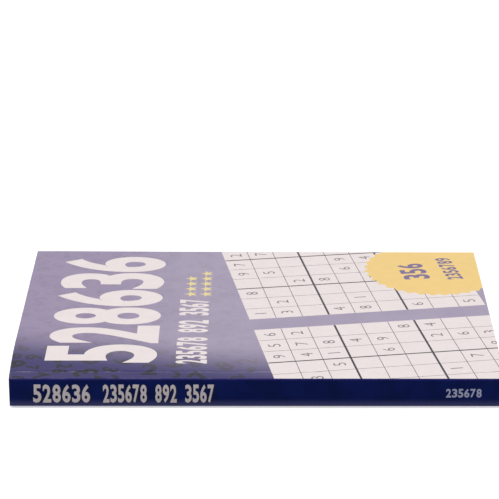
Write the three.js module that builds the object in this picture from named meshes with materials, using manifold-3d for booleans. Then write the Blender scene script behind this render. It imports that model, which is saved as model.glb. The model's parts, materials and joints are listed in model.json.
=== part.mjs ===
// A5 perfect-bound paperback puzzle book, lying closed and face up.
// Millimetres. The origin is on the table under the middle of the book, +X runs along the spine
// from head to tail, +Y from the spine to the fore-edge and +Z up through the front cover.
import * as THREE from "three";
import { mergeVertices } from "three/addons/utils/BufferGeometryUtils.js";
import Module from "manifold-3d";

const wasm = await Module();
wasm.setup();

// Trimmed book: covers and leaves are cut flush on three sides
const pageLength = 210; // head to tail
const bookWidth = 148; // outer face of the spine to the fore-edge

// Block of leaves
const sectionCount = 13; // an odd number, so that the book falls open inside the middle one
const leavesPerSection = 8;
const openSections = 3; // an odd number round the middle, whose leaves part one by one
const leafThickness = 0.1;
const leafGap = 0.014; // air between two pressed leaves
const fusedMargin = 1.3; // bound edge soaked with glue, where the leaves of a section are one

// Cover: one scored card, parted here at its folds
const coverThickness = 0.3;
const hingeWidth = 8; // outer face of the spine to the score line that a cover turns on
const scoreGap = 0.12; // open bottom of the score
const scoreSlope = 0.25; // width of the pressed slope on each side of the score
const scoreDepth = 0.1;
const foldInnerRadius = 0.4; // inside of the fold between the spine and a cover
const spineRound = 0.2; // how far the middle of the spine stands out
const foldGap = 0.04; // between the two halves of the spine, and at its outer folds

// Glue
const spineGlueThickness = 0.6;
const sideGlueThickness = 0.06;
const sideGlueWidth = 5;
const sideGlueInset = 2; // the strips stop short of head and tail
const seatGap = 0.02; // between faces that are stuck together or lie on each other

// Notches milled across the bound edge, which the spine glue keys into
const notchPitch = 14;
const notchWidth = 0.9;
const notchDepth = 0.8;
const ribGap = 0.05; // round each glue rib in its notch

const arcSteps = 6;

// Sizes that follow from these
const leafPitch = leafThickness + leafGap;
const leafCount = sectionCount * leavesPerSection;
const blockThickness = leafCount * leafPitch - leafGap;
const coverSeat = sideGlueThickness + 2 * seatGap; // between a cover and the leaf next to it
const bookThickness = blockThickness + 2 * (coverThickness + coverSeat);
const middle = bookThickness / 2;
const spineFace = -bookWidth / 2;
const foreEdge = bookWidth / 2;
const foldRadius = foldInnerRadius + coverThickness;
const foldCentre = spineFace + spineRound + foldRadius;
const scoreLine = spineFace + hingeWidth;
const glueFace = spineFace + spineRound + coverThickness + seatGap + spineGlueThickness;
const boundEdge = glueFace + seatGap;
const fusedEdge = boundEdge + fusedMargin;
const notchCount = Math.floor((pageLength - notchWidth) / notchPitch);
const middleSection = Math.ceil(sectionCount / 2);

const coverInk = { color: 0x3a3280, roughness: 0.25 };
const spineInk = { color: 0x131c52, roughness: 0.25 };
const pagePaper = { color: 0xece7da, roughness: 0.9 };
const hotMelt = { color: 0xe2d8bb, roughness: 0.5 };

function namedMesh(name, geometry, finish) {
  const material = new THREE.MeshStandardMaterial({ ...finish, metalness: 0 });
  const mesh = new THREE.Mesh(geometry, material);
  mesh.name = name;
  return mesh;
}

// A closed outline of [y, z] points, drawn out along the spine and centred on it.
function alongSpine(outline, length) {
  const shape = new THREE.Shape(outline.map(([y, z]) => new THREE.Vector2(y, z)));
  const geometry = new THREE.ExtrudeGeometry(shape, { depth: length, bevelEnabled: false });
  geometry.translate(0, 0, -length / 2);
  const turn = new THREE.Matrix4().makeBasis(
    new THREE.Vector3(0, 1, 0),
    new THREE.Vector3(0, 0, 1),
    new THREE.Vector3(1, 0, 0),
  );
  return geometry.applyMatrix4(turn);
}

function solidOf(geometry) {
  const bare = geometry.clone();
  bare.deleteAttribute("normal");
  bare.deleteAttribute("uv");
  const merged = mergeVertices(bare);
  return new wasm.Manifold(
    new wasm.Mesh({
      numProp: 3,
      vertProperties: merged.attributes.position.array,
      triVerts: new Uint32Array(merged.index.array),
    }),
  );
}

function geometryOf(solid) {
  const { vertProperties, triVerts } = solid.getMesh();
  const geometry = new THREE.BufferGeometry();
  geometry.setAttribute("position", new THREE.BufferAttribute(vertProperties, 3));
  geometry.setIndex(new THREE.BufferAttribute(triVerts, 1));
  geometry.computeVertexNormals();
  return geometry;
}

function box(low, high) {
  const size = high.map((value, axis) => value - low[axis]);
  const centre = high.map((value, axis) => (value + low[axis]) / 2);
  return solidOf(new THREE.BoxGeometry(...size).translate(...centre));
}

// One bar for each notch, reaching `depth` into the bound edge, `clear` narrower on each side.
function notchBars(root, depth, clear, bottom, top) {
  const bars = [];
  for (let i = 0; i < notchCount; i++) {
    const centre = (i - (notchCount - 1) / 2) * notchPitch;
    const half = notchWidth / 2 - clear;
    bars.push(box([centre - half, root, bottom], [centre + half, boundEdge + depth, top]));
  }
  return bars.reduce((all, bar) => all.add(bar));
}

const notches = notchBars(glueFace - seatGap, notchDepth, 0, -leafPitch, bookThickness);

// Underside of a leaf; leaf 1 lies under the front cover.
function leafBase(number) {
  return middle + blockThickness / 2 - leafThickness - (number - 1) * leafPitch;
}

// Leaves first to last as one comb, joined along the bound edge only, with its underside at z = 0.
function combOutline(first, last) {
  const outline = [[boundEdge, 0]];
  for (let i = 0; i <= last - first; i++) {
    const top = i * leafPitch + leafThickness;
    outline.push([foreEdge, i * leafPitch], [foreEdge, top]);
    if (i < last - first) {
      outline.push([fusedEdge, top], [fusedEdge, top + leafGap]);
    }
  }
  outline.push([boundEdge, (last - first) * leafPitch + leafThickness]);
  return outline;
}

function leaves(name, first, last) {
  const cut = solidOf(alongSpine(combOutline(first, last), pageLength)).subtract(notches);
  const mesh = namedMesh(name, geometryOf(cut), pagePaper);
  mesh.position.z = leafBase(last);
  return mesh;
}

function leafName(number) {
  return "leaf_" + String(number).padStart(3, "0");
}

// The spine's skin at `inset` below its outer face, as [y, height from the middle fold] points
// from the fold round to the flat of the cover.
function spineSkin(inset) {
  const shoulder = middle - foldRadius;
  const skin = new THREE.Path();
  skin.moveTo(spineFace + inset, foldGap / 2);
  skin.quadraticCurveTo(
    spineFace + inset,
    shoulder / 2,
    spineFace + spineRound + inset,
    shoulder,
  );
  skin.absarc(foldCentre, shoulder, foldRadius - inset, Math.PI, Math.PI / 2, true);
  return skin.getPoints(arcSteps).map((point) => [point.x, point.y]);
}

function spineHalf(onSide) {
  const outline = [...spineSkin(0), ...spineSkin(coverThickness).reverse()];
  return alongSpine(onSide(outline), pageLength);
}

// Glue over half of the bound edge, with a rib in each notch.
function spineGlueHalf(onSide) {
  const top = middle - coverThickness - seatGap;
  const outline = [
    ...spineSkin(coverThickness + seatGap),
    [glueFace, top],
    [glueFace, foldGap / 2],
  ];
  const [low, high] = onSide([
    [0, foldGap / 2],
    [0, blockThickness / 2],
  ])
    .map(([, z]) => z)
    .sort((a, b) => a - b);
  const ribRoot = glueFace - spineGlueThickness / 2;
  const ribs = notchBars(ribRoot, notchDepth - ribGap, ribGap, low, high);
  return geometryOf(solidOf(alongSpine(onSide(outline), pageLength)).add(ribs));
}

// A flat card from y = from to y = to, with the pressed slope of the score on the edges named.
function cardOutline(from, to, slopeAtFrom, slopeAtTo) {
  const outer = middle;
  const inner = middle - coverThickness;
  const sloped = outer - scoreDepth;
  const outline = [
    [from, inner],
    [to, inner],
  ];
  outline.push(...(slopeAtTo ? [[to, sloped], [to - scoreSlope, outer]] : [[to, outer]]));
  outline.push(...(slopeAtFrom ? [[from + scoreSlope, outer], [from, sloped]] : [[from, outer]]));
  return outline;
}

function hingeStrip(onSide) {
  const outline = cardOutline(foldCentre + foldGap, scoreLine - scoreGap / 2, false, true);
  return alongSpine(onSide(outline), pageLength);
}

function coverPanel(onSide) {
  const outline = cardOutline(scoreLine + scoreGap / 2, foreEdge, true, false);
  return alongSpine(onSide(outline), pageLength);
}

// The strip of glue that holds the cover's hinge strip to the first or last leaf.
function sideGlue(onSide) {
  const top = middle - coverThickness - seatGap;
  const outline = [
    [boundEdge, top - sideGlueThickness],
    [boundEdge + sideGlueWidth, top - sideGlueThickness],
    [boundEdge + sideGlueWidth, top],
    [boundEdge, top],
  ];
  return alongSpine(onSide(outline), pageLength - 2 * sideGlueInset);
}

// Cover, spine and glue of one half of the book: side is 1 for the front and -1 for the back.
function bindingHalf(half, side) {
  const onSide = (outline) => outline.map(([y, height]) => [y, side * height]);
  const group = new THREE.Group();
  group.position.z = middle;
  group.add(
    namedMesh(half + "_cover", coverPanel(onSide), coverInk),
    namedMesh(half + "_hinge_strip", hingeStrip(onSide), coverInk),
    namedMesh("spine_" + half + "_half", spineHalf(onSide), spineInk),
    namedMesh("spine_glue_" + half + "_half", spineGlueHalf(onSide), hotMelt),
    namedMesh(half + "_side_glue", sideGlue(onSide), hotMelt),
  );
  return group;
}

// The first and last leaf, and each leaf of the sections round the middle, are pieces of their own.
// The rest are sections, as the pages of such a block hold together when it is thumbed.
function leafBlock() {
  const group = new THREE.Group();
  for (let section = 1; section <= sectionCount; section++) {
    const first = (section - 1) * leavesPerSection + 1;
    const last = section * leavesPerSection;
    if (Math.abs(section - middleSection) <= (openSections - 1) / 2) {
      for (let number = first; number <= last; number++) {
        group.add(leaves(leafName(number), number, number));
      }
      continue;
    }
    const name = "section_" + String(section).padStart(2, "0");
    group.add(leaves(name, Math.max(first, 2), Math.min(last, leafCount - 1)));
  }
  group.add(leaves(leafName(1), 1, 1), leaves(leafName(leafCount), leafCount, leafCount));
  return group;
}

const book = new THREE.Group();
book.add(bindingHalf("front", 1), bindingHalf("back", -1), leafBlock());

export default book;
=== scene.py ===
"""Looks of an A5 paperback puzzle book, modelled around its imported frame.

Lengths are millimetres in the frame of the part: +X along the spine from head to tail, +Y from the
spine to the fore-edge, +Z up through the front cover. Blender gets them in metres.
"""

import json
import math
import random

import bmesh
import bpy
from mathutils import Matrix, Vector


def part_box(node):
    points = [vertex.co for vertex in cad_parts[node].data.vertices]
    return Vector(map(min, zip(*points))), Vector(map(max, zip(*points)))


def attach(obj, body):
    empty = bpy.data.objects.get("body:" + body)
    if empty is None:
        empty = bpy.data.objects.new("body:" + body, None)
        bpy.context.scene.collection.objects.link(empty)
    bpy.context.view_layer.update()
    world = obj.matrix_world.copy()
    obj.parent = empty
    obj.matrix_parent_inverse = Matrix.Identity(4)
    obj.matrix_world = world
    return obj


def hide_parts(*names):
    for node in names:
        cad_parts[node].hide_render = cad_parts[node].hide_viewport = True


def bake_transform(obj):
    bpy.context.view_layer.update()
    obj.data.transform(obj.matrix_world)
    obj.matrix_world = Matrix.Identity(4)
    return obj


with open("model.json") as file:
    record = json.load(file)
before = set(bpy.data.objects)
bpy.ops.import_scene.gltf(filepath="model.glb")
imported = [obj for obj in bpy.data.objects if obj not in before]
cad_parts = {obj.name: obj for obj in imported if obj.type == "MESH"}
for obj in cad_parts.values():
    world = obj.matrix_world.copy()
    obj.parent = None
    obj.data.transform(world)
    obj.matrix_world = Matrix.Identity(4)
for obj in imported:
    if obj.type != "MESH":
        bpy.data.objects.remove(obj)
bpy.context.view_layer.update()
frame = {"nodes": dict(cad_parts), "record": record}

MM = 0.001


def node_box(node):
    """Lowest and highest corner of a CAD node, in millimetres."""
    low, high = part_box(node)
    return [value / MM for value in low], [value / MM for value in high]


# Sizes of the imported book
panel_low, panel_high = node_box("front_cover")
strip_high = node_box("front_hinge_strip")[1]
spine_low, spine_high = node_box("spine_front_half")
first_leaf_low, first_leaf_high = node_box("leaf_001")
last_leaf_low = node_box("leaf_104")[0]
LEAF_COUNT = 104
HEAD, TAIL = panel_low[0], panel_high[0]
FORE_EDGE = panel_high[1]
TOP = panel_high[2]
MIDDLE = TOP / 2
CARD = panel_high[2] - panel_low[2]
SPINE_FACE = spine_low[1]
FOLD_END = spine_high[1]
SCORE = (strip_high[1] + panel_low[1]) / 2
BOUND_EDGE = first_leaf_low[1]
LEAF = first_leaf_high[2] - first_leaf_low[2]
LEAF_PITCH = (first_leaf_low[2] - last_leaf_low[2]) / (LEAF_COUNT - 1)

# Form of the cover as it lies in the photograph
SPINE_ROUND = 0.2  # how far the middle of the spine stands out
CROWN = 0.35  # rise of the front cover along the fore-edge, from the tail to the head
CROWN_ALONG = (120, -60)  # X where that rise starts and where it is full
CROWN_ACROSS = (SCORE + 2, FORE_EDGE)  # Y likewise
CURL = 0.25  # further rise of the corner between head and fore-edge
CURL_ALONG = (-30, HEAD)
CURL_ACROSS = (-10, FORE_EDGE)
KNIFE_DRAG = 1.1  # how far the trimming knife pulled in the head of the spine
DRAG_LENGTH = 12.0  # along the spine, from the head
DRAG_START = -30.0  # Y from which it grows towards the spine
SCORE_DEPTH = 0.1
SCORE_HALF_WIDTH = 0.45

# Ink films are far thinner than these, which are drawn thick enough to stay apart in the render
UNDER_INK = 0.008
FIRST_INK = 0.014
SECOND_INK = 0.020
THIRD_INK = 0.026
FOURTH_INK = 0.032
PAGE_INK = 0.004  # has to stay inside the air between two leaves
FIRST_PAGE_INK = 0.012  # there is more room under the cover
INK_ROOT = 0.003  # how far a film reaches into what carries it
SMALLEST_EDGE = 0.0005  # shorter ones are dissolved in a film


def linear(hex_colour):
    """An sRGB hex colour as linear red, green, blue and alpha."""
    channels = [int(hex_colour[i : i + 2], 16) / 255 for i in (1, 3, 5)]
    return [c / 12.92 if c <= 0.04045 else ((c + 0.055) / 1.055) ** 2.4 for c in channels] + [1.0]


def smooth(low, high, value):
    """0 at low, 1 at high, with soft ends."""
    t = min(max((value - low) / (high - low), 0.0), 1.0)
    return t * t * (3 - 2 * t)


def trimmed(x, y, z):
    """Where a point of the square book lies after trimming."""
    across = max(0.0, (DRAG_START - y) / (DRAG_START - SPINE_FACE)) ** 2
    return x + KNIFE_DRAG * across * smooth(HEAD + DRAG_LENGTH, HEAD, x), y, z


# Materials

# Colour sockets of a Mix node: its two inputs and its output
MIX_FIRST, MIX_SECOND, MIX_COLOUR = 6, 7, 2


def add_node(tree, kind, inputs=(), output=0, **settings):
    """Adds a node with its settings and gives one of its outputs. An input given as a socket is
    linked, any other is a value."""
    made = tree.nodes.new(kind)
    for name, value in settings.items():
        setattr(made, name, value)
    for name, value in dict(inputs).items():
        if isinstance(value, bpy.types.NodeSocket):
            tree.links.new(value, made.inputs[name])
        else:
            made.inputs[name].default_value = value
    return made.outputs[output]


def new_material(name):
    """An empty material, its shader and the rest position of the surface in millimetres."""
    material = bpy.data.materials.new(name)
    material.use_nodes = True
    tree = material.node_tree
    shader = tree.nodes["Principled BSDF"]
    place = add_node(tree, "ShaderNodeAttribute", output="Vector", attribute_name="rest_mm")
    return material, tree, shader, place


def clouded(tree, place, ground, cloud, size, detail, low=0.3, high=0.7, most=1.0):
    """A ground colour with clouds of another, about size millimetres across: the ground alone where
    their noise is under low, and the share most of the cloud where it is over high."""
    inputs = {"Vector": place, "Scale": 1 / size, "Detail": detail}
    noise = add_node(tree, "ShaderNodeTexNoise", inputs)
    span = {"Value": noise, "From Min": low, "From Max": high, "To Max": most}
    share = add_node(tree, "ShaderNodeMapRange", span, interpolation_type="SMOOTHSTEP")
    colours = {0: share, MIX_FIRST: ground, MIX_SECOND: cloud}
    return add_node(tree, "ShaderNodeMix", colours, MIX_COLOUR, data_type="RGBA")


def raised_grain(tree, shader, place, size, detail, strength, depth):
    """Grain about size millimetres across and depth millimetres deep, which breaks up the light."""
    inputs = {"Vector": place, "Scale": 1 / size, "Detail": detail}
    noise = add_node(tree, "ShaderNodeTexNoise", inputs)
    inputs = {"Height": noise, "Strength": strength, "Distance": depth * MM}
    bump = add_node(tree, "ShaderNodeBump", inputs)
    tree.links.new(bump, shader.inputs["Normal"])


FILM_IOR = 1.49  # polypropylene
FILM_SPECULAR = 0.12  # low, as the film in the photograph mirrors a dim room
SPINE_SPECULAR = 0.03
PEEL_SIZE = 3.0  # the film's waves, drawn coarser than the real 1 mm so that they show
SCUFF_SIZE = 22.0
SCUFF_ROUGHNESS = 0.07  # what handling adds to the film's roughness
COVER_ROUGHNESS = 0.24
SPINE_ROUGHNESS = 0.3  # the spine is handled most
MOTTLE = 0.9  # how dark the mottle gets, as a share of the printed colour
MOTTLE_SIZE = 6.0


def gloss_film(tree, shader, place, roughness):
    """Gloss film laminate: a clear skin whose faint waves break up what it mirrors."""
    shader.inputs["IOR"].default_value = FILM_IOR
    shader.inputs["Specular IOR Level"].default_value = FILM_SPECULAR
    raised_grain(tree, shader, place, size=PEEL_SIZE, detail=2.0, strength=0.04, depth=0.4)
    inputs = {"Vector": place, "Scale": 1 / SCUFF_SIZE, "Detail": 5.0}
    scuffs = add_node(tree, "ShaderNodeTexNoise", inputs)
    span = {"Value": scuffs, "From Min": 0.35, "From Max": 0.7}
    span.update({"To Min": roughness, "To Max": roughness + SCUFF_ROUGHNESS})
    spread = add_node(tree, "ShaderNodeMapRange", span, interpolation_type="SMOOTHSTEP")
    tree.links.new(spread, shader.inputs["Roughness"])


def laminated_print(name, colour):
    """Offset ink on card under gloss film: an even colour with the faint mottle of the press."""
    material, tree, shader, place = new_material(name)
    inputs = {"Vector": place, "Scale": 1 / MOTTLE_SIZE, "Detail": 4.0}
    cloud = add_node(tree, "ShaderNodeTexNoise", inputs)
    darker = [c * MOTTLE for c in linear(colour)[:3]] + [1.0]
    colours = {0: cloud, MIX_FIRST: linear(colour), MIX_SECOND: darker}
    mottled = add_node(tree, "ShaderNodeMix", colours, MIX_COLOUR, data_type="RGBA")
    tree.links.new(mottled, shader.inputs["Base Color"])
    gloss_film(tree, shader, place, COVER_ROUGHNESS)
    return material


DEEP_INDIGO = "#2c2464"
PALE_INDIGO = "#9c8eab"
NUMERAL_INDIGO = "#0d0b22"
PALE_NUMERAL = "#9689a6"
FADE_START = -78.0  # the ground goes from deep to pale over this stretch of the cover
FADE_END = -36.0
FADE_TILT = 0.2  # the deep part reaches further from the spine at the head
BLOOM = 0.09  # share of white by which the pale part is lighter away from the head
BLOOM_START = -70.0  # X where that sets in
BLOOM_END = -25.0  # X from which it is full


def faded_ground(tree, place, deep, pale):
    """The printed ground: deep beside the spine, paler towards the fore-edge and tail, with mottle."""
    inputs = {0: place, 1: (FADE_TILT, 1, 0)}
    across = add_node(tree, "ShaderNodeVectorMath", inputs, "Value", operation="DOT_PRODUCT")
    span = {"Value": across, "From Min": FADE_START, "From Max": FADE_END}
    fade = add_node(tree, "ShaderNodeMapRange", span, interpolation_type="SMOOTHSTEP")
    along = add_node(tree, "ShaderNodeSeparateXYZ", {"Vector": place}, "X")
    span = {"Value": along, "From Min": BLOOM_START, "From Max": BLOOM_END, "To Max": BLOOM}
    bloom = add_node(tree, "ShaderNodeMapRange", span, interpolation_type="SMOOTHSTEP")
    colours = {0: bloom, MIX_FIRST: linear(pale), MIX_SECOND: linear("#ffffff")}
    lightened = add_node(tree, "ShaderNodeMix", colours, MIX_COLOUR, data_type="RGBA")
    colours = {0: fade, MIX_FIRST: linear(deep), MIX_SECOND: lightened}
    ground = add_node(tree, "ShaderNodeMix", colours, MIX_COLOUR, data_type="RGBA")
    return clouded(tree, place, ground, linear(deep), size=14.0, detail=5.0, most=0.09)


# Pale colour of the folds and score lines: partly rubbed ink, partly a painted highlight
RUBBED_INK_AND_HIGHLIGHT = "#c9c2d6"
RUB_AND_HIGHLIGHT_PATCH = 7.0
WORN_AND_HIGHLIT_LINES = ((SCORE, 0.5, 0.32), (FOLD_END, 0.6, 0.1))  # Y, reach to each side and strength


def worn_folds(tree, place, colour):
    """Paler along the spine folds and the score lines, in broken patches: ink rubbed pale, and a painted
    highlight on their edges.
    """
    across = add_node(tree, "ShaderNodeSeparateXYZ", {"Vector": place}, "Y")
    inputs = {"Vector": place, "Scale": 1 / RUB_AND_HIGHLIGHT_PATCH, "Detail": 6.0}
    noise = add_node(tree, "ShaderNodeTexNoise", inputs)
    span = {"Value": noise, "From Min": 0.42, "From Max": 0.66}
    patches = add_node(tree, "ShaderNodeMapRange", span, interpolation_type="SMOOTHSTEP")
    for line, reach, strength in WORN_AND_HIGHLIT_LINES:
        offset = add_node(tree, "ShaderNodeMath", {0: across, 1: line}, operation="SUBTRACT")
        near = add_node(tree, "ShaderNodeMath", {0: offset}, operation="ABSOLUTE")
        # Lighter towards each line: rubbed ink and painted highlight
        span = {"Value": near, "From Max": reach, "To Min": strength, "To Max": 0.0}
        rub_and_highlight = add_node(tree, "ShaderNodeMapRange", span, interpolation_type="SMOOTHSTEP")
        rubbed_and_highlit = add_node(tree, "ShaderNodeMath", {0: rub_and_highlight, 1: patches}, operation="MULTIPLY")
        colours = {0: rubbed_and_highlit, MIX_FIRST: colour, MIX_SECOND: linear(RUBBED_INK_AND_HIGHLIGHT)}
        colour = add_node(tree, "ShaderNodeMix", colours, MIX_COLOUR, data_type="RGBA")
    return colour


def laminated_indigo_ground():
    """Solid indigo print under gloss film: deep colour that the film veils at a low angle."""
    material, tree, shader, place = new_material("laminated_indigo_ground")
    ground = faded_ground(tree, place, DEEP_INDIGO, PALE_INDIGO)
    tree.links.new(worn_folds(tree, place, ground), shader.inputs["Base Color"])
    gloss_film(tree, shader, place, COVER_ROUGHNESS)
    return material


def laminated_indigo_numerals():
    """The tone-on-tone numerals of the ground, clearest where the ground is deep."""
    material, tree, shader, place = new_material("laminated_indigo_numerals")
    ground = faded_ground(tree, place, NUMERAL_INDIGO, PALE_NUMERAL)
    tree.links.new(ground, shader.inputs["Base Color"])
    gloss_film(tree, shader, place, COVER_ROUGHNESS)
    return material


FOLD_RADIUS = FOLD_END - SPINE_FACE - SPINE_ROUND
# Bands over the spine: the front cover's ground over the upper fold, partly a painted highlight there,
# and a painted reflection of the floor along the foot. Z where each sets in and is full, its share and
# colour
SPINE_BANDS = ((TOP - FOLD_RADIUS, TOP - 0.1, 0.8, DEEP_INDIGO), (4.0, 0.0, 0.92, "#3a3c62"))


def laminated_navy_spine():
    """Dense navy print under gloss film, with the front cover's ground over its upper fold, partly a
    painted highlight, and a painted reflection of the floor along its foot.
    """
    material, tree, shader, place = new_material("laminated_navy_spine")
    navy = clouded(tree, place, linear("#040f3b"), linear("#071449"), size=9.0, detail=4.0)
    height = add_node(tree, "ShaderNodeSeparateXYZ", {"Vector": place}, "Z")
    # The upper band is partly a painted highlight on the fold; the lower band is a painted reflection of
    # the floor.
    for start, full, most, colouring in SPINE_BANDS:
        span = {"Value": height, "From Min": start, "From Max": full, "To Max": most}
        share = add_node(tree, "ShaderNodeMapRange", span, interpolation_type="SMOOTHSTEP")
        colours = {0: share, MIX_FIRST: navy, MIX_SECOND: linear(colouring)}
        navy = add_node(tree, "ShaderNodeMix", colours, MIX_COLOUR, data_type="RGBA")
    tree.links.new(worn_folds(tree, place, navy), shader.inputs["Base Color"])
    gloss_film(tree, shader, place, SPINE_ROUGHNESS)
    shader.inputs["Specular IOR Level"].default_value = SPINE_SPECULAR
    return material


def uncoated_card():
    """Uncoated side and cut edge of the cover card: matt white with soft fibre clouds."""
    material, tree, shader, place = new_material("uncoated_cover_card")
    card = clouded(tree, place, linear("#f0ede7"), linear("#ebe8e1"), size=5.0, detail=6.0)
    tree.links.new(card, shader.inputs["Base Color"])
    shader.inputs["Roughness"].default_value = 0.75
    raised_grain(tree, shader, place, size=0.8, detail=4.0, strength=0.12, depth=0.1)
    return material


def wood_pulp_paper():
    """Uncoated wood-pulp book paper: matt and warm, with fibre clouds, specks and uneven leaves."""
    material, tree, shader, place = new_material("wood_pulp_page_paper")
    sheet = clouded(tree, place, linear("#f1ebdf"), linear("#ece5d7"), size=4.0, detail=6.0)
    specks = linear("#bcae92")
    sheet = clouded(tree, place, sheet, specks, size=0.9, detail=2.0, low=0.72, high=0.8, most=0.3)
    tone = add_node(tree, "ShaderNodeAttribute", output="Fac", attribute_name="leaf_tone")
    span = {"Value": tone, "To Max": 0.25}
    shade = add_node(tree, "ShaderNodeMapRange", span, interpolation_type="SMOOTHSTEP")
    colours = {0: shade, MIX_FIRST: sheet, MIX_SECOND: linear("#d2c7b4")}
    sheet = add_node(tree, "ShaderNodeMix", colours, MIX_COLOUR, data_type="RGBA")
    tree.links.new(sheet, shader.inputs["Base Color"])
    shader.inputs["Roughness"].default_value = 0.9
    shader.inputs["Specular IOR Level"].default_value = 0.3
    raised_grain(tree, shader, place, size=0.7, detail=4.0, strength=0.15, depth=0.1)
    return material


def page_ink():
    """Offset black on uncoated paper: a soft grey black, a little uneven where the paper drinks it."""
    material, tree, shader, place = new_material("offset_page_ink")
    black, grey = linear("#2b2a2c"), linear("#474547")
    colouring = clouded(tree, place, black, grey, size=1.5, detail=4.0, low=0.35)
    tree.links.new(colouring, shader.inputs["Base Color"])
    shader.inputs["Roughness"].default_value = 0.8
    return material


def hot_melt_glue():
    """Set hot-melt glue: cream, waxy and slightly uneven, with flow ripples."""
    material, tree, shader, _ = new_material("set_hot_melt_glue")
    inputs = {0: add_node(tree, "ShaderNodeTexCoord", output="Object"), 1: (1 / MM, 1 / MM, 1 / MM)}
    place = add_node(tree, "ShaderNodeVectorMath", inputs, operation="MULTIPLY")
    glue = clouded(tree, place, linear("#e6dcbf"), linear("#d3c59d"), size=2.5, detail=4.0)
    tree.links.new(glue, shader.inputs["Base Color"])
    shader.inputs["Roughness"].default_value = 0.45
    raised_grain(tree, shader, place, size=1.2, detail=3.0, strength=0.3, depth=0.2)
    return material


INDIGO_GROUND = laminated_indigo_ground()
INDIGO_NUMERALS = laminated_indigo_numerals()
NAVY_SPINE = laminated_navy_spine()
WHITE_CARD = laminated_print("laminated_bare_white", "#f3e8e7")
YELLOW_INK = laminated_print("laminated_yellow_print", "#fad584")
LEMON_INK = laminated_print("laminated_lemon_print", "#f1dd9b")
GRID_INK = laminated_print("laminated_grid_print", "#3d3840")
NUMBER_INK = laminated_print("laminated_grid_number_print", "#7a7479")
BADGE_INK = laminated_print("laminated_violet_print", "#7b6a95")
SILVER_INK = laminated_print("laminated_silver_grey_print", "#b0a8ac")
SHADOW_INK = laminated_print("laminated_black_print", "#08080e")
PALE_INK = laminated_print("laminated_pale_blue_print", "#8b8ea7")
CARD_CORE = uncoated_card()
PAPER = wood_pulp_paper()
PAGE_PRINT = page_ink()
GLUE = hot_melt_glue()


# Meshes

SHARP_ANGLE = 35.0  # folds and edges over this many degrees are drawn sharp


def make_piece(name, vertices, faces, materials, finish_of=None, tones=None):
    """A mesh object from millimetres, trimmed, with each point's place before that and its leaf tone."""
    mesh = bpy.data.meshes.new(name)
    mesh.from_pydata([[c * MM for c in trimmed(*v)] for v in vertices], [], faces)
    for material in materials:
        mesh.materials.append(material)
    if finish_of is not None:
        mesh.polygons.foreach_set("material_index", finish_of)
    rest = mesh.attributes.new("rest_mm", "FLOAT_VECTOR", "POINT")
    rest.data.foreach_set("vector", [c for v in vertices for c in v])
    if tones is not None:
        tone = mesh.attributes.new("leaf_tone", "FLOAT", "POINT")
        tone.data.foreach_set("value", tones)
    mesh.shade_smooth()
    mesh.set_sharp_from_angle(angle=math.radians(SHARP_ANGLE))
    piece = bpy.data.objects.new(name, mesh)
    bpy.context.scene.collection.objects.link(piece)
    return piece


OUTER, INNER, EDGE = 0, 1, 2


def slab(columns, rows, upper, lower):
    """A closed sheet over a grid of x and y: vertices, faces and which side each face is on."""
    across, count = len(columns), len(columns) * len(rows)
    vertices = [(x, y, upper(x, y)) for y in rows for x in columns]
    vertices += [(x, y, lower(x, y)) for y in rows for x in columns]
    faces, sides = [], []
    for j in range(len(rows) - 1):
        for i in range(across - 1):
            a, b = j * across + i, (j + 1) * across + i
            faces += [(a, a + 1, b + 1, b), (a + count, b + count, b + count + 1, a + count + 1)]
            sides += [OUTER, INNER]
    rim = list(range(across))
    rim += [j * across + across - 1 for j in range(1, len(rows))]
    rim += [(len(rows) - 1) * across + i for i in reversed(range(across - 1))]
    rim += [j * across for j in reversed(range(1, len(rows) - 1))]
    for a, b in zip(rim, rim[1:] + rim[:1]):
        faces.append((a, a + count, b + count, b))
        sides.append(EDGE)
    return vertices, faces, sides


def steps(low, high, count):
    """count + 1 evenly spaced values from low to high."""
    return [low + (high - low) * i / count for i in range(count + 1)]


# Cover

def cover_lift(x, y):
    """How far the closed front cover rides up off a flat block."""
    crown = smooth(*CROWN_ALONG, x) * smooth(*CROWN_ACROSS, y)
    curl = smooth(*CURL_ALONG, x) * smooth(*CURL_ACROSS, y)
    return CROWN * crown + CURL * curl


def score_groove(y):
    """Depth of the pressed score at a distance across the cover."""
    return SCORE_DEPTH * math.exp(-(((y - SCORE) / SCORE_HALF_WIDTH) ** 2))


def front_face(x, y):
    """Z of the front cover's printed face."""
    return TOP + cover_lift(x, y) - score_groove(y)


def back_face(x, y):
    """Z of the back cover's printed face."""
    return score_groove(y)


# Grid of both cover cards, finest at the score
COLUMNS = steps(HEAD, TAIL, 56)
SCORE_ROWS = [SCORE + offset for offset in (-1.2, -0.8, -0.5, -0.3, -0.1, 0.1, 0.3, 0.5, 0.8, 1.2)]
ROWS = steps(FOLD_END, SCORE - 1.7, 3) + SCORE_ROWS + steps(SCORE + 2, FORE_EDGE, 38)


def hinge(piece):
    """Bakes the piece's place into its mesh."""
    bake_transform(piece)


def front_card():
    """Front cover and its hinge strip, one card with a pressed score."""
    shape = slab(COLUMNS, ROWS, front_face, lambda x, y: front_face(x, y) - CARD)
    finish = {OUTER: 0, INNER: 1, EDGE: 1}
    piece = make_piece(
        "front_cover_card", *shape[:2], [INDIGO_GROUND, CARD_CORE], [finish[s] for s in shape[2]]
    )
    hinge(piece)
    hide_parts("front_cover", "front_hinge_strip")


def back_card():
    """Back cover and its hinge strip."""
    shape = slab(COLUMNS, ROWS, lambda x, y: back_face(x, y) + CARD, back_face)
    finish = {OUTER: 1, INNER: 0, EDGE: 1}
    piece = make_piece(
        "back_cover_card", *shape[:2], [INDIGO_GROUND, CARD_CORE], [finish[s] for s in shape[2]]
    )
    hinge(piece)
    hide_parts("back_cover", "back_hinge_strip")


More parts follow.
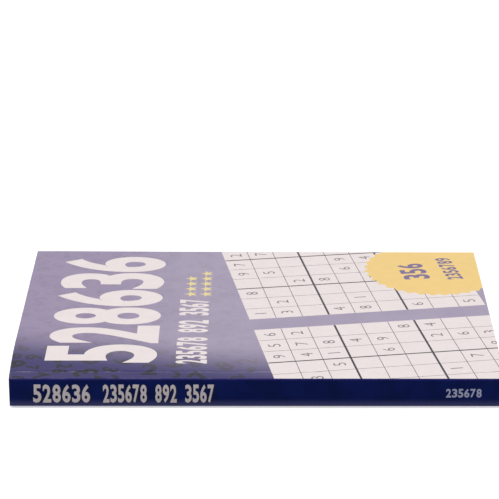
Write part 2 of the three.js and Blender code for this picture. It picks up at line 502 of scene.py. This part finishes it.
SHOULDER = MIDDLE - FOLD_RADIUS  # height of the fold from the middle line
SPINE_COLUMNS = steps(HEAD, TAIL, 20)
FOLD_ZONE = 0.2  # half the height over which the spine bends when the book is opened
FOLD_STEPS = 8


def spine_face(height):
    """Y of the spine's outer face at a height from its middle line, short of the folds to the covers."""
    return SPINE_FACE + SPINE_ROUND * min(abs(height) / SHOULDER, 1.0) ** 2


SPINE_ROWS = [FOLD_ZONE / 2, FOLD_ZONE] + steps(0.5, SHOULDER, 10)
SPINE_ROWS = [-h for h in reversed(SPINE_ROWS)] + [0.0] + SPINE_ROWS


def spine_profile(inset):
    """Section of the spine card from the back fold to the front fold, inset below its outer face."""
    side = [(spine_face(h) + inset, h) for h in SPINE_ROWS if h >= 0]
    for step in range(1, FOLD_STEPS + 1):
        angle = math.pi / 2 * step / FOLD_STEPS
        radius = FOLD_RADIUS - inset
        side.append((FOLD_END - radius * math.cos(angle), SHOULDER + radius * math.sin(angle)))
    return [(y, -h) for y, h in reversed(side[1:])] + side


def spine_card():
    """The whole spine with both folds."""
    outer, inner = spine_profile(0), spine_profile(CARD)
    section = outer + inner[::-1]
    around = len(section)
    vertices = [(x, y, MIDDLE + h) for x in SPINE_COLUMNS for y, h in section]
    faces, finish = [], []
    for i in range(len(SPINE_COLUMNS) - 1):
        for k in range(around):
            a, b = i * around + k, i * around + (k + 1) % around
            faces.append((a, a + around, b + around, b))
            finish.append(0 if k < len(outer) - 1 else 1)
    last = (len(SPINE_COLUMNS) - 1) * around
    for k in range(len(outer) - 1):
        near, far = k, around - 1 - k
        faces.append((near, near + 1, far - 1, far))
        faces.append((last + near, last + far, last + far - 1, last + near + 1))
        finish += [1, 1]
    piece = make_piece("spine_card", vertices, faces, [NAVY_SPINE, CARD_CORE], finish)
    open_at_middle(piece)
    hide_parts("spine_front_half", "spine_back_half")


def open_at_middle(piece):
    """Bakes the piece's place into its mesh."""
    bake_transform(piece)


# Leaves

LEAF_GRID = (16, 10)  # faces along and across a leaf
FIRST_LEAF_GRID = (56, 40)  # the first leaf is curved most and carries print
TRIM_SPREAD = 0.06  # leaves end this unevenly after trimming
LEAF_FOLLOW = 0.8  # share of the cover's rise that the first leaf follows
leaf_draw = random.Random(5)


def leaf_base(number):
    """Underside of a leaf in a flat block; leaf 1 lies under the front cover."""
    return first_leaf_low[2] - (number - 1) * LEAF_PITCH


def leaf_lift(x, y, z):
    """Leaves of the upper half follow the rise of the cover, less and less towards the middle."""
    share = max(0.0, (z - MIDDLE) / (TOP - MIDDLE)) ** 2
    return LEAF_FOLLOW * share * cover_lift(x, y)


def leaf_top(number):
    """Z of a leaf's upper face, as a function of x and y."""
    base = leaf_base(number) + LEAF
    return lambda x, y: base + leaf_lift(x, y, base)


def leaf_under(number):
    """Z of a leaf's lower face, as a function of x and y."""
    base = leaf_base(number)
    return lambda x, y: base + leaf_lift(x, y, base)


def leaf_slab(number):
    """One leaf, trimmed a little unevenly."""
    ends = [leaf_draw.uniform(0, TRIM_SPREAD) for _ in range(3)]
    along, across = FIRST_LEAF_GRID if number == 1 else LEAF_GRID
    columns = steps(HEAD + ends[0], TAIL - ends[1], along)
    rows = steps(BOUND_EDGE, FORE_EDGE - ends[2], across)
    return slab(columns, rows, leaf_top(number), leaf_under(number))


def leaves(name, numbers, body):
    """Leaves in one piece that stands for a CAD node of the same leaves."""
    vertices, faces, tones = [], [], []
    for number in numbers:
        points, polygons, _ = leaf_slab(number)
        start = len(vertices)
        vertices += points
        faces += [tuple(i + start for i in polygon) for polygon in polygons]
        tones += [leaf_draw.random()] * len(points)
    piece = make_piece(name + "_paper", vertices, faces, [PAPER], tones=tones)
    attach(piece, body)
    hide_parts(name)


def leaf_block():
    """Every node of leaves, in the body that carries it."""
    bodies = frame["record"]["behaviour"]["bodies"]
    for body, nodes in bodies.items():
        for node in nodes:
            if not node.startswith(("leaf", "section")):
                continue
            low, high = node_box(node)
            last = round((first_leaf_low[2] - low[2]) / LEAF_PITCH) + 1
            first = round((first_leaf_high[2] - high[2]) / LEAF_PITCH) + 1
            leaves(node, range(first, last + 1), body)


# Print

def numerals(weight, resolution):
    """Outlines of the ten numerals, one high and centred: {character: (points, faces, width)}."""
    shapes = {}
    for character in "0123456789":
        curve = bpy.data.curves.new("numeral", "FONT")
        curve.body = character
        curve.offset = weight
        curve.resolution_u = resolution
        drawn = bpy.data.objects.new("numeral", curve)
        bpy.context.scene.collection.objects.link(drawn)
        graph = bpy.context.evaluated_depsgraph_get()
        mesh = bpy.data.meshes.new_from_object(drawn.evaluated_get(graph))
        points = [(v.co.x, v.co.y) for v in mesh.vertices]
        low = [min(p[k] for p in points) for k in (0, 1)]
        high = [max(p[k] for p in points) for k in (0, 1)]
        tall = high[1] - low[1]
        middle = [(low[k] + high[k]) / 2 for k in (0, 1)]
        points = [((x - middle[0]) / tall, (y - middle[1]) / tall) for x, y in points]
        faces = [tuple(p.vertices) for p in mesh.polygons]
        shapes[character] = (points, faces, (high[0] - low[0]) / tall)
        bpy.data.objects.remove(drawn)
        bpy.data.curves.remove(curve)
        bpy.data.meshes.remove(mesh)
    return shapes


# In the heavy weights the 4 runs into itself, so bold print leaves it out
FINE = numerals(weight=-0.006, resolution=2)
PLAIN = numerals(weight=0.0, resolution=2)
HEAVY = numerals(weight=0.03, resolution=3)
BROAD = numerals(weight=0.03, resolution=12)


def turned(points, centre, turn):
    """Points turned by an angle in degrees and moved to centre."""
    c, s = math.cos(math.radians(turn)), math.sin(math.radians(turn))
    return [(centre[0] + c * a - s * b, centre[1] + s * a + c * b) for a, b in points]


def numeral(font, character, centre, height, turn=0.0, width=None):
    """One numeral of a height; width sets how wide it is drawn instead of its own width."""
    points, faces, own = font[character]
    stretch = 1.0 if width is None else width / (own * height)
    sized = [(x * height * stretch, y * height) for x, y in points]
    return turned(sized, centre, turn), faces


NARROW_ONE = 0.6  # width of a 1 beside the other numerals


def numeral_row(font, text, start, height, pitch, turn=0.0, fill=0.86):
    """Numerals in a row from start, each in a space of pitch; a blank leaves its space empty."""
    row = []
    for k, character in enumerate(text):
        if character == " ":
            continue
        along = turned([((k + 0.5) * pitch, height / 2)], start, turn)[0]
        width = pitch * fill * (NARROW_ONE if character == "1" else 1.0)
        row.append(numeral(font, character, along, height, turn, width))
    return row


STAR_WAIST = 0.42  # inner radius of a star over its outer one


def star(centre, radius, turn):
    """A five-pointed star."""
    inner = STAR_WAIST * radius
    points = []
    for k in range(10):
        angle = math.pi / 2 + k * math.pi / 5
        reach = radius if k % 2 == 0 else inner
        points.append((reach * math.cos(angle), reach * math.sin(angle)))
    return turned(points, centre, turn), [tuple(range(10))]


def block(low, high):
    """A rectangle."""
    points = [(low[0], low[1]), (high[0], low[1]), (high[0], high[1]), (low[0], high[1])]
    return points, [(0, 1, 2, 3)]


def divide(flat, axis, value, side=1, clear=False):
    """Divides flat shapes at a value of u or v; clear takes away what lies beyond it on a side."""
    point = [value if k == axis else 0 for k in range(3)]
    normal = [side if k == axis else 0 for k in range(3)]
    everything = flat.verts[:] + flat.edges[:] + flat.faces[:]
    bmesh.ops.bisect_plane(flat, geom=everything, plane_co=point, plane_no=normal, clear_outer=clear)


def flat_print(shapes, cuts, window):
    """Shapes laid flat as triangles, cut to the window and divided at the cuts."""
    flat = bmesh.new()
    for points, faces in shapes:
        corners = [flat.verts.new((u, v, 0)) for u, v in points]
        for face in faces:
            flat.faces.new([corners[i] for i in face])
    if window:
        low, high = window
        for axis in (0, 1):
            divide(flat, axis, low[axis], side=-1, clear=True)
            divide(flat, axis, high[axis], clear=True)
    for axis in (0, 1):
        for value in cuts[axis]:
            divide(flat, axis, value)
    bmesh.ops.triangulate(flat, faces=flat.faces[:])
    bmesh.ops.dissolve_degenerate(flat, dist=SMALLEST_EDGE, edges=flat.edges[:])
    bmesh.ops.triangulate(flat, faces=flat.faces[:])
    flat.verts.index_update()
    return flat


def film(name, shapes, place, colouring, thickness, cuts=((), ()), window=None):
    """Shapes as one closed layer of ink. place puts a point (u, v) at a height over what carries it;
    cuts are the u and v at which shapes are divided to follow it, and window is what they are cut to."""
    flat = flat_print(shapes, cuts, window)
    count = len(flat.verts)
    vertices = [place(v.co.x, v.co.y, thickness) for v in flat.verts]
    vertices += [place(v.co.x, v.co.y, -INK_ROOT) for v in flat.verts]
    faces = []
    for face in flat.faces:
        top = [v.index for v in face.verts]
        faces += [tuple(top), tuple(i + count for i in reversed(top))]
        for loop in face.loops:
            if len(loop.edge.link_faces) == 1:
                a, b = loop.vert.index, loop.link_loop_next.vert.index
                faces.append((b, a, a + count, b + count))
    flat.free()
    piece = make_piece(name, vertices, faces, [colouring])
    closed = bmesh.new()
    closed.from_mesh(piece.data)
    bmesh.ops.recalc_face_normals(closed, faces=closed.faces[:])
    closed.to_mesh(piece.data)
    closed.free()
    return piece


def on_front(x, y, height):
    """A place at a height over the front cover."""
    return x, y, front_face(x, y) + height


def on_back(x, y, height):
    """A place at a height outside the back cover."""
    return x, y, back_face(x, y) - height


def on_spine(x, height, rise):
    """A place outside the spine, at a height from its middle line."""
    return x, spine_face(height) - rise, MIDDLE + height


COVER_WINDOW = ((HEAD, FOLD_END), (TAIL, FORE_EDGE))
UPRIGHT = 90.0  # upright print on the cover has its top towards the head

# Layout of the front cover
LARGE_LINE = "528636"
LARGE_START = (-42.6, -57.5)
LARGE_HEIGHT = 48.0
LARGE_PITCH = 20.8
LARGE_FILL = 0.93  # share of its space that a numeral takes up
NARROW_LINE = "235678 892 3567"
NARROW_START = (-21.0, -58.0)
NARROW_HEIGHT = 13.5
NARROW_PITCH = 4.8
STAR_RADIUS = 3.1
STAR_PITCH = 6.3
STAR_ROWS = ((-29.6, 20.2, 4), (-22.6, 20.2, 5))  # x, first y and how many
CELL = 12.05  # of the two grids, which lie on one tilted lattice
GRID_TILT = 9.3
GRID_CORNER = (-2.8, -9.6)
GRID_ROWS = (0, -10)  # first row of each grid on the lattice
THIN_LINE = 0.28
THICK_LINE = 0.95
BACKING_INSET = 0.3  # of a grid's dark backing from its outer edge
GRID_NUMERAL = 5.4
COVER_GIVENS = 36  # numbers shown in a grid
COVER_SEED = 11
BADGE_CENTRE = (84.0, 52.0)
BADGE_RADIUS = 33.0
BADGE_POINTS = 36
BADGE_DEPTH = 1.7  # of its scallops
SCALLOP_STEPS = 8
SCALLOP_POWER = 1.5  # rounds the scallops
# Text, start, height and pitch
BADGE_LINES = (("356", (82.0, 39.8), 12.5, 6.8), ("2356789", (97.2, 39.5), 7.5, 4.0))


def lattice(column, row):
    """A point of the tilted lattice that both grids of the front cover lie on."""
    return turned([(column * CELL, row * CELL)], GRID_CORNER, GRID_TILT)[0]


def line_at(index):
    """Half of the width of a grid line: every third one is thick, and there is none round the grid."""
    if index in (0, 9):
        return 0.0
    return (THICK_LINE if index % 3 == 0 else THIN_LINE) / 2


def cover_cells(first_row):
    """The white cells of a grid, parted so that its dark backing shows as the lines."""
    cells = []
    for row in range(9):
        for column in range(9):
            left = column * CELL + line_at(column)
            right = (column + 1) * CELL - line_at(column + 1)
            low = (first_row + row) * CELL + line_at(row)
            high = (first_row + row + 1) * CELL - line_at(row + 1)
            points, faces = block((left, low), (right, high))
            cells.append((turned(points, GRID_CORNER, GRID_TILT), faces))
    return cells


def cover_backing(first_row):
    """The dark backing of a grid, which shows between its cells."""
    low = (BACKING_INSET, first_row * CELL + BACKING_INSET)
    high = (9 * CELL - BACKING_INSET, (first_row + 9) * CELL - BACKING_INSET)
    points, faces = block(low, high)
    return turned(points, GRID_CORNER, GRID_TILT), faces


def puzzle(seed, shown):
    """Part of a filled grid, shuffled from the plain shifted pattern: {(row, column): number}."""
    draw = random.Random(seed)
    numbers = draw.sample(range(1, 10), 9)
    rows = [3 * band + row for band in draw.sample(range(3), 3) for row in draw.sample(range(3), 3)]
    columns = [3 * band + row for band in draw.sample(range(3), 3) for row in draw.sample(range(3), 3)]
    filled = {
        (i, j): numbers[(3 * (row % 3) + row // 3 + column) % 9]
        for i, row in enumerate(rows)
        for j, column in enumerate(columns)
    }
    return {cell: filled[cell] for cell in draw.sample(sorted(filled), shown)}


def cover_numbers(first_row, seed):
    """The given numbers of a puzzle in a grid of the front cover."""
    shapes = []
    for (row, column), number in puzzle(seed, COVER_GIVENS).items():
        centre = lattice(column + 0.5, first_row + row + 0.5)
        shapes.append(numeral(FINE, str(number), centre, GRID_NUMERAL, UPRIGHT + GRID_TILT))
    return shapes


def badge():
    """A round badge with a scalloped edge."""
    count = BADGE_POINTS * SCALLOP_STEPS
    points = []
    for k in range(count):
        angle = 2 * math.pi * k / count
        notch = abs(math.cos(BADGE_POINTS * angle / 2)) ** SCALLOP_POWER
        reach = BADGE_RADIUS - BADGE_DEPTH * notch
        points.append((reach * math.cos(angle), reach * math.sin(angle)))
    return turned(points, BADGE_CENTRE, 0), [tuple(range(count))]


GROUND_TRIES = 9000  # places drawn for a numeral; most of them have one already
GROUND_CHARACTERS = "2356789"
GROUND_SIZES = (6.0, 12.0)
GROUND_MARGIN = 0.3  # kept clear round each numeral


def apart(first, second):
    """True where the line along a side of one of two rectangles parts them."""
    for outline in (first, second):
        for (x0, y0), (x1, y1) in zip(outline, outline[1:] + outline[:1]):
            ahead = [(y0 - y1) * x + (x1 - x0) * y for x, y in first]
            behind = [(y0 - y1) * x + (x1 - x0) * y for x, y in second]
            if max(ahead) < min(behind) or max(behind) < min(ahead):
                return True
    return False


def ground_numerals(seed, keep):
    """Numerals strewn over the printed ground, none over another, where keep(x, y, reach) says so."""
    draw = random.Random(seed)
    shapes, taken = [], []
    for _ in range(GROUND_TRIES):
        centre = draw.uniform(HEAD, TAIL), draw.uniform(FOLD_END, FORE_EDGE)
        size = draw.uniform(*GROUND_SIZES)
        turn = draw.uniform(0, 360)
        character = draw.choice(GROUND_CHARACTERS)
        half = (HEAVY[character][2] * size / 2 + GROUND_MARGIN, size / 2 + GROUND_MARGIN)
        reach = math.hypot(*half)
        if not keep(*centre, reach):
            continue
        outline = turned(block((-half[0], -half[1]), half)[0], centre, turn)
        near = [other for place, far, other in taken if math.dist(place, centre) < far + reach]
        if all(apart(outline, other) for other in near):
            taken.append((centre, reach, outline))
            shapes.append(numeral(HEAVY, character, centre, size, turn))
    return shapes


def clear_of_grids(x, y, reach):
    """True where the front cover's ground isn't covered by the grids."""
    along = turned([(x - GRID_CORNER[0], y - GRID_CORNER[1])], (0, 0), -GRID_TILT)[0][0]
    return along < -reach


def front_print():
    """Everything printed on the front cover."""
    large = numeral_row(BROAD, LARGE_LINE, LARGE_START, LARGE_HEIGHT, LARGE_PITCH, UPRIGHT, LARGE_FILL)
    large += numeral_row(HEAVY, NARROW_LINE, NARROW_START, NARROW_HEIGHT, NARROW_PITCH, UPRIGHT)
    stars = []
    for x, y, count in STAR_ROWS:
        stars += [star((x, y + k * STAR_PITCH), STAR_RADIUS, UPRIGHT) for k in range(count)]
    backing = [cover_backing(row) for row in GRID_ROWS]
    cells = [cell for row in GRID_ROWS for cell in cover_cells(row)]
    numbers = [shape for row in GRID_ROWS for shape in cover_numbers(row, COVER_SEED + row)]
    figures = []
    for text, start, height, pitch in BADGE_LINES:
        figures += numeral_row(HEAVY, text, start, height, pitch, UPRIGHT + GRID_TILT)
    strewn = ground_numerals(seed=3, keep=clear_of_grids)
    layers = (
        ("front_ground_numerals", strewn, INDIGO_NUMERALS, UNDER_INK),
        ("front_large_numerals", large, WHITE_CARD, FIRST_INK),
        ("front_stars", stars, LEMON_INK, FIRST_INK),
        ("front_grid_lines", backing, GRID_INK, UNDER_INK),
        ("front_grid_cells", cells, WHITE_CARD, FIRST_INK),
        ("front_grid_numbers", numbers, NUMBER_INK, SECOND_INK),
        ("front_badge", [badge()], YELLOW_INK, THIRD_INK),
        ("front_badge_numerals", figures, BADGE_INK, FOURTH_INK),
    )
    for name, shapes, colouring, thickness in layers:
        piece = film(name, shapes, on_front, colouring, thickness, (COLUMNS, ROWS), COVER_WINDOW)
        hinge(piece)


def back_print():
    """The strewn numerals run on over the back cover, which carries nothing else."""
    shapes = ground_numerals(seed=4, keep=lambda x, y, reach: True)
    cuts = ((), SCORE_ROWS)
    piece = film("back_ground_numerals", shapes, on_back, INDIGO_NUMERALS, UNDER_INK, cuts, COVER_WINDOW)
    hinge(piece)


# Layout of the spine: heights are from its middle line
SPINE_LINES = ((LARGE_LINE, -94.2, 4.1), (NARROW_LINE, -64.7, 3.15))  # text, start and pitch
SMALL_LINE = "235678"
SMALL_START = (79.7, -2.0)
SMALL_NUMERAL = 4.0
SMALL_PITCH = 2.56
SPINE_NUMERAL = 8.4
SPINE_LOW = -4.5  # foot of the grey numerals
SPINE_SHADOW = (0.45, -0.35)  # offset of their shadow


def spine_print():
    """Grey numerals with a dark shadow near the head, and small pale ones near the tail."""
    grey, dark = [], []
    for text, start, pitch in SPINE_LINES:
        grey += numeral_row(HEAVY, text, (start, SPINE_LOW), SPINE_NUMERAL, pitch)
        low = (start + SPINE_SHADOW[0], SPINE_LOW + SPINE_SHADOW[1])
        dark += numeral_row(HEAVY, text, low, SPINE_NUMERAL, pitch)
    pale = numeral_row(HEAVY, SMALL_LINE, SMALL_START, SMALL_NUMERAL, SMALL_PITCH)
    layers = (
        ("spine_shadows", dark, SHADOW_INK, FIRST_INK),
        ("spine_numerals", grey, SILVER_INK, SECOND_INK),
        ("spine_small_numerals", pale, PALE_INK, FIRST_INK),
    )
    for name, shapes, colouring, thickness in layers:
        piece = film(name, shapes, on_spine, colouring, thickness, ((), SPINE_ROWS))
        open_at_middle(piece)


# Layout of a page: two puzzles, measured from the middle of the page, up towards the head
PAGE_CELL = 9.6
PAGE_GRIDS = (48.5, -48.5)
PAGE_NUMERAL = 5.4
PAGE_GIVENS = 28
HEADING_GAP = 1.5  # between a grid and its number
HEADING_NUMERAL = 3.2
HEADING_PITCH = 2.4
GUTTER = 6.0  # kept free beside the spine
PAGE_THIN = 0.2
PAGE_THICK = 0.7
PAGE_MIDDLE = (BOUND_EDGE + GUTTER + FORE_EDGE) / 2


def page_grid(middle):
    """The lines of a grid as one plate with an opening for each cell."""
    edges = []
    for k in range(10):
        half = (PAGE_THICK if k % 3 == 0 else PAGE_THIN) / 2
        edges += [(k - 4.5) * PAGE_CELL - half, (k - 4.5) * PAGE_CELL + half]
    points = [(u, v + middle) for v in edges for u in edges]
    wide = len(edges)
    faces = []
    for j in range(wide - 1):
        for i in range(wide - 1):
            if i % 2 == 0 or j % 2 == 0:
                a = j * wide + i
                faces.append((a, a + 1, a + wide + 1, a + wide))
    return points, faces


def page_shapes(seed):
    """The two puzzles of a page, each with its number over it."""
    shapes = []
    for k, middle in enumerate(PAGE_GRIDS):
        shapes.append(page_grid(middle))
        for (row, column), number in puzzle(2 * seed + k, PAGE_GIVENS).items():
            centre = ((column - 4) * PAGE_CELL, middle + (row - 4) * PAGE_CELL)
            shapes.append(numeral(PLAIN, str(number), centre, PAGE_NUMERAL))
        heading = (-4.5 * PAGE_CELL, middle + 4.5 * PAGE_CELL + HEADING_GAP)
        shapes += numeral_row(PLAIN, str(2 * seed + k), heading, HEADING_NUMERAL, HEADING_PITCH)
    return shapes


def page(number, upper, body):
    """The print on one side of a leaf: upper is its front, the other its back."""
    surface = leaf_top(number) if upper else leaf_under(number)
    side = 1 if upper else -1

    def on_page(u, v, height):
        """A place at a height over the page."""
        x, y = -v, PAGE_MIDDLE + side * u
        return x, y, surface(x, y) + side * height

    name = f"leaf_{number:03d}_{'front' if upper else 'back'}_print"
    seed = 2 * number if upper else 2 * number + 1
    cuts, thickness = ((), ()), PAGE_INK
    if number == 1:
        along, across = FIRST_LEAF_GRID
        cuts = (steps(-FORE_EDGE, FORE_EDGE, across), steps(HEAD, TAIL, along))
        thickness = FIRST_PAGE_INK
    piece = film(name, page_shapes(seed), on_page, PAGE_PRINT, thickness, cuts)
    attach(piece, body)


# The pages that the poses show: leaf, whether its upper side is meant, and the body that carries it
PRINTED_PAGES = (
    (1, True, "front_half"),
    (51, False, "leaf_051"),
    (52, True, "leaf_052"),
    (52, False, "leaf_052"),
    (53, True, "leaf_053"),
    (53, False, "leaf_053"),
    (54, True, "leaf_054"),
    (104, False, "back_half"),
)


def spine_glue(half):
    """The glue over half of the bound edge: its solid, trimmed with the rest."""
    node = f"spine_glue_{half}_half"
    solid = frame["nodes"][node]
    vertices = [[c / MM for c in solid.matrix_world @ v.co] for v in solid.data.vertices]
    faces = [tuple(polygon.vertices) for polygon in solid.data.polygons]
    piece = make_piece(f"spine_glue_{half}_bead", vertices, faces, [GLUE])
    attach(piece, f"{half}_half")
    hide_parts(node)


def side_glue(half):
    """The side glue stops short of the head, so it keeps its solid."""
    mesh = frame["nodes"][f"{half}_side_glue"].data
    mesh.materials.clear()
    mesh.materials.append(GLUE)


# Camera and studio

CAMERA_PLACE = (-1.65, -925.1, 398.8)
CAMERA_PITCH = 21.06  # below the horizon
CAMERA_YAW = 0.076
CAMERA_LENS = 160.4
CAMERA_SENSOR = 36.0


def add_camera():
    """The camera at the photograph's viewing angle."""
    data = bpy.data.cameras.new("camera")
    data.lens = CAMERA_LENS
    data.sensor_width = CAMERA_SENSOR
    data.clip_end = 5 * FLOOR_REACH * MM
    camera = bpy.data.objects.new("camera", data)
    camera.location = [value * MM for value in CAMERA_PLACE]
    camera.rotation_euler = [math.radians(a) for a in (90 - CAMERA_PITCH, 0, CAMERA_YAW)]
    bpy.context.scene.collection.objects.link(camera)
    bpy.context.scene.camera = camera


def seen_directly(tree):
    """1 for rays from the camera and in mirrored or clear surfaces, so that those see white."""
    seen = add_node(tree, "ShaderNodeLightPath", output="Is Camera Ray")
    for kind in ("Is Glossy Ray", "Is Transmission Ray"):
        inputs = {0: seen, 1: add_node(tree, "ShaderNodeLightPath", output=kind)}
        seen = add_node(tree, "ShaderNodeMath", inputs, operation="MAXIMUM")
    return seen


WORLD_LIGHT = 0.55  # strength of the white studio where it isn't seen directly


def add_world():
    """An even white studio all round."""
    world = bpy.data.worlds.new("studio")
    bpy.context.scene.world = world
    world.use_nodes = True
    tree = world.node_tree
    span = {"Value": seen_directly(tree), "To Min": WORLD_LIGHT}
    strength = add_node(tree, "ShaderNodeMapRange", span, interpolation_type="SMOOTHSTEP")
    background = tree.nodes["Background"]
    background.inputs["Color"].default_value = (1, 1, 1, 1)
    tree.links.new(strength, background.inputs["Strength"])


FLOOR_HEIGHT = -0.78  # under the printed face of the back cover where it is folded right back
FLOOR_REACH = 4000.0
FLOOR_GLOW = 0.45  # lifts the lit floor to white and leaves the shadow
FLOOR_CLEAR = 3.0  # a ray shorter than this passes the floor, so that light reaches the back cover


def pale_floor():
    """Matt pale floor that is clear from below, so that the back cover can be seen."""
    material = bpy.data.materials.new("studio_floor")
    material.use_nodes = True
    tree = material.node_tree
    shader = tree.nodes["Principled BSDF"]
    shader.inputs["Base Color"].default_value = linear("#f0f0f0")
    shader.inputs["Roughness"].default_value = 0.7
    shader.inputs["Emission Color"].default_value = (1, 1, 1, 1)
    span = {"Value": seen_directly(tree), "To Max": FLOOR_GLOW}
    lift = add_node(tree, "ShaderNodeMapRange", span, interpolation_type="SMOOTHSTEP")
    tree.links.new(lift, shader.inputs["Emission Strength"])
    below = add_node(tree, "ShaderNodeNewGeometry", output="Backfacing")
    inputs = {0: add_node(tree, "ShaderNodeLightPath", output="Ray Length"), 1: FLOOR_CLEAR * MM}
    close = add_node(tree, "ShaderNodeMath", inputs, operation="LESS_THAN")
    passed = add_node(tree, "ShaderNodeMath", {0: below, 1: close}, operation="MAXIMUM")
    inputs = {0: passed, 1: shader.outputs["BSDF"], 2: add_node(tree, "ShaderNodeBsdfTransparent")}
    one_sided = add_node(tree, "ShaderNodeMixShader", inputs)
    tree.links.new(one_sided, tree.nodes["Material Output"].inputs["Surface"])
    return material


def add_floor():
    """A plain pale floor under the book."""
    mesh = bpy.data.meshes.new("studio_floor")
    corners, faces = block((-FLOOR_REACH, -FLOOR_REACH), (FLOOR_REACH, FLOOR_REACH))
    mesh.from_pydata([(x * MM, y * MM, FLOOR_HEIGHT * MM) for x, y in corners], [], faces)
    mesh.materials.append(pale_floor())
    floor = bpy.data.objects.new("studio_floor", mesh)
    bpy.context.scene.collection.objects.link(floor)


# Name, place and size in metres, and watts
SOFTBOXES = (
    ("softbox_left", (-1.2, -0.6, 1.6), 1.4, 14),
    ("softbox_right", (1.2, -0.4, 1.6), 1.4, 12),
)


def add_softbox(name, place, size, power):
    """A square lamp that is aimed at the book."""
    data = bpy.data.lights.new(name, "AREA")
    data.size = size
    data.energy = power
    lamp = bpy.data.objects.new(name, data)
    lamp.location = place
    aim = -lamp.location
    lamp.rotation_euler = aim.to_track_quat("-Z", "Y").to_euler()
    bpy.context.scene.collection.objects.link(lamp)


add_camera()
front_card()
back_card()
spine_card()
leaf_block()
front_print()
back_print()
spine_print()
for printed in PRINTED_PAGES:
    page(*printed)
for half_name in ("front", "back"):
    spine_glue(half_name)
    side_glue(half_name)
add_world()
add_floor()
for softbox in SOFTBOXES:
    add_softbox(*softbox)
bpy.context.scene.view_settings.view_transform = "Standard"
